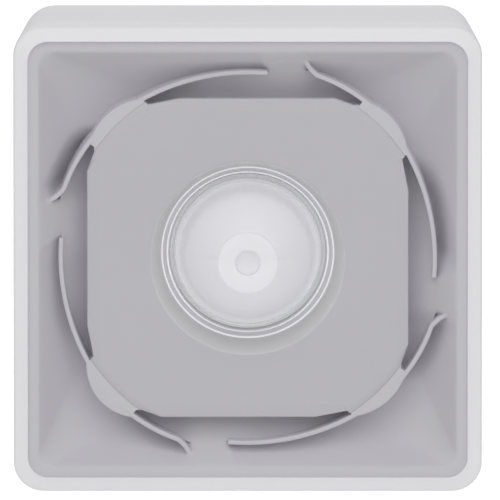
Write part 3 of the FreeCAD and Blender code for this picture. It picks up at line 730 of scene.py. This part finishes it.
def skirt():
    """The square skirt under the plate, with the four lobes that stand out round its corners."""
    disc = np.minimum(OUTLINE_REACH, PLATE_DISC + 0.05)
    lobe = np.where(OUTLINE_REACH > PLATE_DISC + 0.15, 1.0, 0.0)
    top = PLATE_UNDER + lobe * (VANE_TOP - PLATE_UNDER)
    recessed = np.minimum(OUTLINE_REACH, square_reach(SKIRT_HALF, 12.2, OUTLINE_TURN))
    outside = np.where(lobe > 0, OUTLINE_REACH, recessed)
    chamber = square_reach(PLATE_HALF - 3.0, PLATE_CORNER - 2.6, OUTLINE_TURN)
    inside = np.minimum(chamber, disc - 1.0)
    seat = np.minimum(disc, outside)
    rings = [around(inside, FLOOR), around(inside, PLATE_UNDER), around(seat - 0.02, PLATE_UNDER),
             around(seat - 0.01, top - 0.02),
             around(np.maximum(outside - 0.3, disc * lobe), top),
             around(np.maximum(outside - 0.08, disc * lobe), top - 0.1 * lobe),
             around(outside, top - 0.3 * lobe), around(outside + 0.25 * lobe, FLOOR)]
    return solid_of_rings("skirt", rings, 40)


place(joined("vane_ring_body", [skirt()] + vanes()), horn_plastic, "vane_ring")

# %% [markdown]
# ## The lens and what shows through it
# The tall dome is clear polycarbonate a little over a millimetre thick, held by a polished ring. Under
# it a white cone carries the sensor up to the crown, where a round cap frames the window. A refracting
# glass shader is the usual choice, but it shades the white cone inside. A thin lens bends light very
# little, so this shell lets light straight through, adds a little milk, and turns into a mirror where it
# is seen at a grazing angle. Towards the edges the milk gets a painted glow, light given off with no lamp.

# %% Clear and glossy finishes


def by_slant(nodes, links, power, least, most):
    """A share that grows from least, seen square on, to most at a grazing angle."""
    slant = nodes.new("ShaderNodeLayerWeight")
    slant.inputs["Blend"].default_value = 0.5
    steep = nodes.new("ShaderNodeMath")
    steep.operation = "POWER"
    steep.inputs[1].default_value = power
    links.new(slant.outputs["Facing"], steep.inputs[0])
    share = nodes.new("ShaderNodeMapRange")
    share.inputs["To Min"].default_value, share.inputs["To Max"].default_value = least, most
    links.new(steep.outputs["Value"], share.inputs["Value"])
    return share.outputs["Result"]


def milky_shell(name, tint, milk, roughness, painted_glow):
    """Thin lens plastic: mostly clear, a little milky with a painted glow, and a mirror at a grazing
    angle.
    """
    material = bpy.data.materials.new(name)
    material.use_nodes = True
    nodes, links = material.node_tree.nodes, material.node_tree.links
    nodes.remove(nodes["Principled BSDF"])
    clear = nodes.new("ShaderNodeBsdfTransparent")
    white = nodes.new("ShaderNodeBsdfDiffuse")
    mirror = nodes.new("ShaderNodeBsdfGlossy")
    # A painted glow: emission added to the milk, so the edges give off light with no lamp.
    painted_glow_shader, milk_and_painted_glow = nodes.new("ShaderNodeEmission"), nodes.new("ShaderNodeAddShader")
    painted_glow_shader.inputs["Color"].default_value = (*milk, 1)
    painted_glow_shader.inputs["Strength"].default_value = painted_glow
    links.new(white.outputs["BSDF"], milk_and_painted_glow.inputs[0])
    links.new(painted_glow_shader.outputs["Emission"], milk_and_painted_glow.inputs[1])
    clear.inputs["Color"].default_value = (*tint, 1)
    where = nodes.new("ShaderNodeTexCoord")
    haze = nodes.new("ShaderNodeTexNoise")
    haze.inputs["Scale"].default_value = 90
    links.new(where.outputs["Object"], haze.inputs["Vector"])
    cloud = nodes.new("ShaderNodeMix")
    cloud.data_type = "RGBA"
    cloud.inputs["A"].default_value = (*[c * 0.97 for c in milk], 1)
    cloud.inputs["B"].default_value = (*milk, 1)
    links.new(haze.outputs["Fac"], cloud.inputs["Factor"])
    links.new(cloud.outputs["Result"], white.inputs["Color"])
    gloss = nodes.new("ShaderNodeMapRange")
    gloss.inputs["To Min"].default_value = roughness * 0.6
    gloss.inputs["To Max"].default_value = roughness * 1.5
    links.new(haze.outputs["Fac"], gloss.inputs["Value"])
    links.new(gloss.outputs["Result"], mirror.inputs["Roughness"])
    body, surface = nodes.new("ShaderNodeMixShader"), nodes.new("ShaderNodeMixShader")
    links.new(by_slant(nodes, links, 4, 0.05, 0.85), body.inputs["Fac"])
    links.new(clear.outputs["BSDF"], body.inputs[1])
    links.new(milk_and_painted_glow.outputs["Shader"], body.inputs[2])
    links.new(by_slant(nodes, links, 5, 0.05, 0.35), surface.inputs["Fac"])
    links.new(body.outputs["Shader"], surface.inputs[1])
    links.new(mirror.outputs["BSDF"], surface.inputs[2])
    links.new(surface.outputs["Shader"], nodes["Material Output"].inputs["Surface"])
    return material


lens_plastic = milky_shell("lens_plastic", (0.985, 0.985, 0.99), (0.93, 0.93, 0.95), 0.05, painted_glow=0.34)
# The clear dome's flange is painted opaque white: a painted highlight at the foot of the lens.
flange_painted_highlight = moulded("flange_painted_highlight", (0.95, 0.95, 0.96), roughness=0.25, grain=0.0)
# The ring's plastic gets a strong painted glow, so its beads show as bright lines with no lamp.
ring_plastic = moulded("ring_plastic", (0.94, 0.94, 0.95), roughness=0.18, grain=0.0,
                       specular=0.8, painted_glow=0.30)
# The groove is a darker copy of the ring's plastic: painted shade between the beads, lightened a little by
# a painted glow.
groove_painted_shade = moulded("groove_painted_shade", (0.56, 0.555, 0.58), roughness=0.3, grain=0.0, painted_glow=0.22)
# The window film gets a painted glow, light given off with no lamp.
window_film = moulded("window_film", (0.72, 0.715, 0.73), roughness=0.22, grain=0.0,
                      edge_lift=0, painted_glow=0.26)
# The cone and the cap get a painted glow that lightens them, with no lamp inside.
cone_plastic = moulded("cone_plastic", (0.94, 0.935, 0.95), roughness=0.3, grain=0.03, painted_glow=0.10)
cap_plastic = moulded("cap_plastic", (0.97, 0.965, 0.98), roughness=0.35, grain=0.03, painted_glow=0.05)

# %% [markdown]
# ### Dome, ring, cone and cap
# These four are round, so each is one closed outline turned about the axis. The dome's outline is an
# ellipse outside and another inside, which makes the wall thin out towards the crown as in a moulded
# lens. The dome's flange is painted opaque white, a painted highlight at the lens's foot. The ring gets a
# bead at each edge; a painted glow on the ring and painted shade in the darker groove between the beads
# help them draw the two fine bright lines round the lens. The cone and the cap get a painted glow.

# %% Dome and ring
DOME_R, DOME_WALL = 17.0, 1.2
DOME_FOOT, DOME_TOP = dome_low[2] + 0.9, dome_high[2]
FLANGE_R = 18.35                 # the dome's flat flange, clamped by the ring
RING_OUTER = 18.5


def egg(radius, foot, height, steps):
    """Points from the foot to the crown of a tall dome."""
    turns = np.linspace(0, math.pi / 2, steps)
    return [(radius * math.cos(t), foot + height * math.sin(t)) for t in turns]


def lens_dome():
    height = DOME_TOP - DOME_FOOT
    inner = DOME_R - DOME_WALL
    outline = [(inner, dome_low[2]), (FLANGE_R - 0.15, dome_low[2]), (FLANGE_R, dome_low[2] + 0.15),
               (FLANGE_R, DOME_FOOT - 0.15), (FLANGE_R - 0.15, DOME_FOOT), (DOME_R + 0.12, DOME_FOOT)]
    outline += egg(DOME_R, DOME_FOOT + 0.12, height - 0.12, 48)[:-1] + [(0, DOME_TOP)]
    outline += [(0, DOME_TOP - DOME_WALL)] + egg(inner, DOME_FOOT, height - DOME_WALL, 48)[::-1][1:]
    return lathe("lens", outline, 192, sharp_degrees=50)


def lens_ring():
    """A ring with a polished bead at each edge and a groove between them, painted darker as shade."""
    inner, outer, low, high = DOME_R + 0.05, RING_OUTER, DOME_FOOT + 0.5, DOME_FOOT + 1.45
    outline = [(inner, DOME_FOOT), (outer, DOME_FOOT), (outer, high), (outer - 0.12, high + 0.08),
               (outer - 0.22, high), (outer - 0.32, high - 0.5), (inner + 0.62, low - 0.15),
               (inner + 0.36, low - 0.15), (inner + 0.3, low - 0.02), (inner + 0.12, low + 0.05),
               (inner, low - 0.1)]
    return lathe("lens_ring", softened(outline, 0.1, 4), 192, sharp_degrees=60)


dome = place(lens_dome(), lens_plastic, "lens_dome")
# The flange faces get the opaque white of the painted highlight.
second_finish(dome, flange_painted_highlight, lambda r, f: f < DOME_FOOT + 0.1)
retainer = place(lens_ring(), ring_plastic, "lens_retainer")
# The groove's faces get the darker copy: painted shade.
second_finish(retainer, groove_painted_shade, lambda r, f: DOME_R + 0.35 < r < RING_OUTER - 0.32)

# %% Cone and cap
cone_low, cone_high = node_box("sensor_cone")
cap_low, cap_high = node_box("sensor_cap")
CAP_R, CAP_SOCKET_R, WINDOW_HOLE_R = 6.6, 4.75, 2.62
CAP_SHELF = 58.1                 # the underside of the cap's face, just above the window


def sensor_cone():
    """A steep hollow cone on a wide flat foot that fills the lens from edge to edge."""
    foot, top, flange = cone_low[2], cone_high[2], DOME_FOOT - 0.6
    outside = [(14.9, foot), (14.9, flange - 1), (15.7, flange - 1), (15.7, flange), (14.6, flange + 0.4),
               (13.3, 45.0), (11.1, 49.2), (8.9, 53.2), (CAP_R, top)]
    inside = [(5.4, top), (7.6, 53.2), (9.8, 49.4), (12.0, 45.6), (13.6, 42.6), (13.6, foot)]
    return lathe("cone", softened(outside + inside, 0.9, 6), 160, sharp_degrees=50)


def sensor_cap():
    foot, top = cap_low[2], cap_high[2]
    outline = [(WINDOW_HOLE_R, CAP_SHELF), (CAP_SOCKET_R, CAP_SHELF), (CAP_SOCKET_R, foot), (CAP_R, foot),
               (CAP_R, top - 0.35), (CAP_R - 0.4, top), (WINDOW_HOLE_R + 0.4, top),
               (WINDOW_HOLE_R, top - 0.35)]
    return lathe("cap", softened(outline, 0.3, 5), 128, sharp_degrees=50)


place(sensor_cone(), cone_plastic, "sensor_cone")
place(sensor_cap(), cap_plastic, "sensor_cap")

# %% [markdown]
# ## Finishes for the pieces behind the front
# The design model's own boards, screws and springs already have the right shape, so they stay and only
# get a finish. Turned or stamped metal shows fine lines from the tool, so its gloss varies along thin
# stretched noise. Rubber and foam are dull, with a coarse grain. The boards carry copper tracks under
# green lacquer: bricks stretched into long thin cells look much like them.

# %% Metal


def metal(name, colour, roughness=0.25, stretch=(1, 1, 12)):
    """Machined or stamped metal with fine tool lines."""
    material = bpy.data.materials.new(name)
    material.use_nodes = True
    nodes, links = material.node_tree.nodes, material.node_tree.links
    shader = nodes["Principled BSDF"]
    socket(shader, "Metallic", 1.0)
    where = nodes.new("ShaderNodeTexCoord")
    along = nodes.new("ShaderNodeMapping")
    along.inputs["Scale"].default_value = stretch
    links.new(where.outputs["Object"], along.inputs["Vector"])
    lines = nodes.new("ShaderNodeTexNoise")
    lines.inputs["Scale"].default_value = 900
    lines.inputs["Detail"].default_value = 5
    links.new(along.outputs["Vector"], lines.inputs["Vector"])
    gloss = nodes.new("ShaderNodeMapRange")
    gloss.inputs["To Min"].default_value = roughness * 0.6
    gloss.inputs["To Max"].default_value = roughness * 1.6
    links.new(lines.outputs["Fac"], gloss.inputs["Value"])
    links.new(gloss.outputs["Result"], shader.inputs["Roughness"])
    shade = nodes.new("ShaderNodeMix")
    shade.data_type = "RGBA"
    shade.inputs["A"].default_value = (*[c * 0.86 for c in colour], 1)
    shade.inputs["B"].default_value = (*colour, 1)
    links.new(lines.outputs["Fac"], shade.inputs["Factor"])
    links.new(shade.outputs["Result"], shader.inputs["Base Color"])
    bump = nodes.new("ShaderNodeBump")
    bump.inputs["Strength"].default_value = 0.08
    bump.inputs["Distance"].default_value = 0.00005
    links.new(lines.outputs["Fac"], bump.inputs["Height"])
    links.new(bump.outputs["Normal"], shader.inputs["Normal"])
    return material


screw_steel = metal("screw_steel", (0.72, 0.72, 0.74), 0.28)
contact_tin = metal("contact_tin", (0.80, 0.80, 0.78), 0.34)
pin_gold = metal("pin_gold", (0.90, 0.68, 0.30), 0.22)
disc_brass = metal("disc_brass", (0.86, 0.66, 0.34), 0.30, (12, 1, 1))
can_steel = metal("can_steel", (0.66, 0.66, 0.68), 0.20)
print("metals ready")

# %% Circuit board


def lacquered_board(name, lacquer, track):
    """Circuit board: lacquer over copper tracks, with the glass weave just showing."""
    material = bpy.data.materials.new(name)
    material.use_nodes = True
    nodes, links = material.node_tree.nodes, material.node_tree.links
    shader = nodes["Principled BSDF"]
    socket(shader, "Roughness", 0.32)
    socket(shader, "Coat Weight", 0.5)
    where = nodes.new("ShaderNodeTexCoord")
    turned = nodes.new("ShaderNodeMapping")
    turned.inputs["Rotation"].default_value = (math.pi / 2, 0, 0)
    links.new(where.outputs["Object"], turned.inputs["Vector"])
    tracks = nodes.new("ShaderNodeTexBrick")
    tracks.inputs["Scale"].default_value = 260
    tracks.inputs["Mortar Size"].default_value = 0.05
    tracks.inputs["Brick Width"].default_value = 2.4
    tracks.inputs["Row Height"].default_value = 0.42
    tracks.inputs["Color1"].default_value = (*lacquer, 1)
    tracks.inputs["Color2"].default_value = (*[c * 0.85 for c in lacquer], 1)
    tracks.inputs["Mortar"].default_value = (*track, 1)
    links.new(turned.outputs["Vector"], tracks.inputs["Vector"])
    weave = nodes.new("ShaderNodeTexChecker")
    weave.inputs["Scale"].default_value = 2500
    links.new(where.outputs["Object"], weave.inputs["Vector"])
    bump = nodes.new("ShaderNodeBump")
    bump.inputs["Strength"].default_value = 0.05
    bump.inputs["Distance"].default_value = 0.00005
    links.new(weave.outputs["Fac"], bump.inputs["Height"])
    links.new(bump.outputs["Normal"], shader.inputs["Normal"])
    links.new(tracks.outputs["Color"], shader.inputs["Base Color"])
    return material


green_board = lacquered_board("green_board", (0.03, 0.16, 0.07), (0.10, 0.34, 0.14))
print("board ready")

# %% Finish every piece that keeps its design shape


def inner_plastic(name, colour, roughness=0.45, grain=0.08):
    """Plain moulding inside the unit. The design model's coarse mesh would make edge wear blotchy."""
    return moulded(name, colour, roughness, grain, grain_size=0.3, edge_lift=0.0)


FINISHES = {
    screw_steel: ["main_board_screws", "plate_screws", "rear_cover_screws", "sensor_board_screws",
                  "terminal_screws", "locking_screw", "tamper_spring"],
    contact_tin: ["socket_contacts", "sensor_leads"],
    pin_gold: ["link_pins", "plug_pins"],
    disc_brass: ["sounder_disc"],
    can_steel: ["pyro_sensor"],
    green_board: ["main_board", "sensor_board"],
    window_film: ["sensor_window"],
    inner_plastic("black_plastic", (0.025, 0.025, 0.028)): [
        "link_header", "link_socket", "plug_body", "tamper_switch", "sounder_cup", "main_chip"],
    inner_plastic("capacitor_sleeve", (0.03, 0.035, 0.06), 0.3, 0.02): ["capacitors"],
    inner_plastic("relay_blue", (0.04, 0.16, 0.42), 0.35): ["relay"],
    inner_plastic("setting_blue", (0.05, 0.22, 0.55), 0.4): ["delay_body", "sensitivity_body"],
    inner_plastic("switch_red", (0.55, 0.04, 0.035), 0.4): ["coding_switch"],
    inner_plastic("white_acetal", (0.85, 0.85, 0.84), 0.3, 0.03): [
        "coding_slider_1", "coding_slider_2", "coding_slider_3", "coding_slider_4", "delay_dial",
        "sensitivity_dial", "tamper_plunger"],
    inner_plastic("terminal_green", (0.06, 0.34, 0.12), 0.38): ["terminal_block"],
    inner_plastic("wall_plate_white", (0.84, 0.83, 0.85), 0.5): ["wall_plate"],
    inner_plastic("tray_white", (0.78, 0.78, 0.79), 0.5): ["sound_tray"],
    inner_plastic("cover_grey", (0.50, 0.50, 0.52), 0.5, 0.14): ["rear_cover"],
    inner_plastic("fired_ceramic", (0.88, 0.86, 0.80), 0.6, 0.2): ["sounder_ceramic"],
    inner_plastic("led_body", (0.90, 0.78, 0.30), 0.25, 0.0): ["status_leds"],
    moulded("seal_rubber", (0.05, 0.05, 0.05), roughness=0.8, grain=0.3, grain_size=0.6,
            edge_lift=0.0, specular=0.2): ["cable_grommet", "lens_seal"],
    moulded("cell_foam", (0.10, 0.10, 0.105), roughness=0.95, grain=0.9, grain_size=0.9,
            edge_lift=0.0, specular=0.1): ["rear_cover_seal"],
}
finished = 0
for finish, names in FINISHES.items():
    for name in names:
        for place_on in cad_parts[name].material_slots:
            place_on.material = finish
            finished += 1
print("design pieces finished:", finished)

# %% [markdown]
# ## Stage, light and camera
# The unit hangs in a plain studio. A large soft light stands above and in front of it, a second one far
# behind it lights only the pale floor, and an even surround fills the shadows. From the camera the floor
# fills the whole background with white. The camera has a long lens, square on to the front and slightly
# above it, so the square front stays square.

# %% Stage, light and camera
bpy.context.scene.view_settings.view_transform = "Standard"
FLOOR_LEVEL = -0.4               # metres, as are all places and sizes on the stage


def studio_floor():
    mesh = bpy.data.meshes.new("floor")
    reach, level = 9.0, FLOOR_LEVEL
    mesh.from_pydata([(-reach, -reach, level), (reach, -reach, level), (reach, reach, level),
                      (-reach, reach, level)], [], [(0, 1, 2, 3)])
    floor = new_piece("floor", mesh)
    material = moulded("floor_paint", (0.95, 0.95, 0.95), roughness=0.7, grain=0.0, edge_lift=0.0)
    floor.data.materials.append(material)


def soft_box(name, place_m, width, height, brightness, aim):
    """A rectangular soft light; its power follows from how bright its surface should be."""
    light = bpy.data.lights.new(name, "AREA")
    light.shape, light.size, light.size_y = "RECTANGLE", width, height
    light.energy = brightness * math.pi * width * height
    lamp = bpy.data.objects.new(name, light)
    bpy.context.scene.collection.objects.link(lamp)
    lamp.location = place_m
    lamp.rotation_euler = (Vector(aim) - Vector(place_m)).to_track_quat("-Z", "Y").to_euler()
    lamp.visible_camera = False
    lamp.visible_glossy = False


def surround(above, below):
    """An even surround, with its own brightness below the horizon, beyond the floor."""
    world = bpy.data.worlds.new("surround")
    world.use_nodes = True
    nodes, links = world.node_tree.nodes, world.node_tree.links
    direction = nodes.new("ShaderNodeTexCoord")
    split = nodes.new("ShaderNodeSeparateXYZ")
    links.new(direction.outputs["Generated"], split.inputs["Vector"])
    level = nodes.new("ShaderNodeMapRange")
    level.inputs["From Min"].default_value = -0.06
    level.inputs["From Max"].default_value = -0.03
    level.inputs["To Min"].default_value = below
    level.inputs["To Max"].default_value = above
    links.new(split.outputs["Z"], level.inputs["Value"])
    links.new(level.outputs["Result"], nodes["Background"].inputs["Strength"])
    nodes["Background"].inputs["Color"].default_value = (1, 1, 1, 1)
    bpy.context.scene.world = world


print("light helpers ready")

# %% Camera and lights
ELEVATION = math.radians(7.8)
CAMERA_AWAY = 4.5
FIELD_MM = 106.6                 # the width that the camera sees at the front of the unit
SENSOR = 36


def camera():
    data = bpy.data.cameras.new("camera")
    cam = bpy.data.objects.new("camera", data)
    bpy.context.scene.collection.objects.link(cam)
    back = Vector((0, -math.cos(ELEVATION), math.sin(ELEVATION)))
    up = Vector((0, math.sin(ELEVATION), math.cos(ELEVATION)))
    aim = Vector((0.00048, -CREST * MM, 0)) + up * 0.0022     # a little off the middle of the front
    cam.location = aim + back * CAMERA_AWAY
    cam.rotation_euler = (-back).to_track_quat("-Z", "Y").to_euler()
    data.sensor_width = SENSOR
    data.lens = SENSOR * CAMERA_AWAY / (FIELD_MM * MM)
    data.clip_start, data.clip_end = 0.1, 30
    bpy.context.scene.camera = cam


studio_floor()
surround(above=0.48, below=0.92)
soft_box("key", (0.0, -1.55, 1.4), 3.2, 2.2, 0.93, aim=(0, -0.05, 0))
soft_box("behind", (0, 3.0, 1.2), 3.0, 3.0, 1.9, aim=(0, 3.0, FLOOR_LEVEL))
camera()
print(f"lens {bpy.context.scene.camera.data.lens:.0f} mm, {CAMERA_AWAY} m away")
